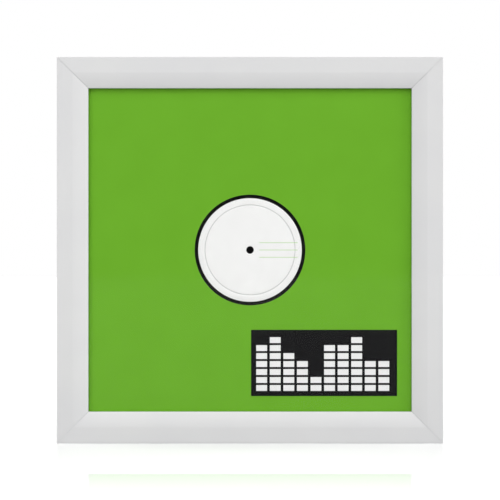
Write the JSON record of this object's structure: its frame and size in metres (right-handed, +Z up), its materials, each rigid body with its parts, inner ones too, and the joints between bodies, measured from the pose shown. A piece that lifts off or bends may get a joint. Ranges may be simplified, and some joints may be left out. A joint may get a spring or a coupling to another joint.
{
  "type": "vinyl record frame",
  "caption": "Square front-loading wall frame for a record sleeve, with mitred white cover rails that hinge outwards on a base frame, a clear sheet and a die-cut sleeve with its disc.",
  "frame": {"origin": "centre of the frame's back, in the plane of the wall, which is also the centre of the four wall screw holes", "axes": "+Z up, +X to the viewer's right, the front faces -Y and the wall is at +Y"},
  "size_m": [0.371, 0.0145, 0.371],
  "materials": {
    "white_powder_coat": "matte",
    "zinc_plated_steel": "satin",
    "black_oxide_steel": "satin",
    "spring_steel": "satin",
    "black_polystyrene": "matte",
    "green_card": "matte",
    "black_vinyl": "gloss",
    "white_label_paper": "matte",
    "clear_polyester": "gloss"
  },
  "bodies": {
    "wall_frame": {"base_top": "white_powder_coat", "base_right": "white_powder_coat", "base_bottom": "white_powder_coat", "base_left": "white_powder_coat", "corner_connector_top_right": "zinc_plated_steel", "corner_connector_top_left": "zinc_plated_steel", "corner_connector_bottom_left": "zinc_plated_steel", "corner_connector_bottom_right": "zinc_plated_steel", "grub_screws": "black_oxide_steel", "springs_top": "spring_steel", "springs_right": "spring_steel", "springs_bottom": "spring_steel", "springs_left": "spring_steel", "back_panel": "black_polystyrene", "record_sleeve": "green_card", "record_disc": "black_vinyl", "record_label_front": "white_label_paper", "record_label_back": "white_label_paper", "clear_sheet": "clear_polyester"},
    "top_rail": {"rail_top": "white_powder_coat"},
    "right_rail": {"rail_right": "white_powder_coat"},
    "bottom_rail": {"rail_bottom": "white_powder_coat"},
    "left_rail": {"rail_left": "white_powder_coat"}
  },
  "joints": [
    {"name": "top_rail_hinge", "type": "hinge", "parent": "wall_frame", "child": "top_rail", "pos_m": [0, -0.0099, 0.1829], "axis": [-1, 0, 0], "range_deg": [0, 90]},
    {"name": "right_rail_hinge", "type": "hinge", "parent": "wall_frame", "child": "right_rail", "pos_m": [0.1829, -0.0099, 0], "axis": [0, 0, 1], "range_deg": [0, 90]},
    {"name": "bottom_rail_hinge", "type": "hinge", "parent": "wall_frame", "child": "bottom_rail", "pos_m": [0, -0.0099, -0.1829], "axis": [1, 0, 0], "range_deg": [0, 90]},
    {"name": "left_rail_hinge", "type": "hinge", "parent": "wall_frame", "child": "left_rail", "pos_m": [-0.1829, -0.0099, 0], "axis": [0, 0, -1], "range_deg": [0, 90]}
  ]
}
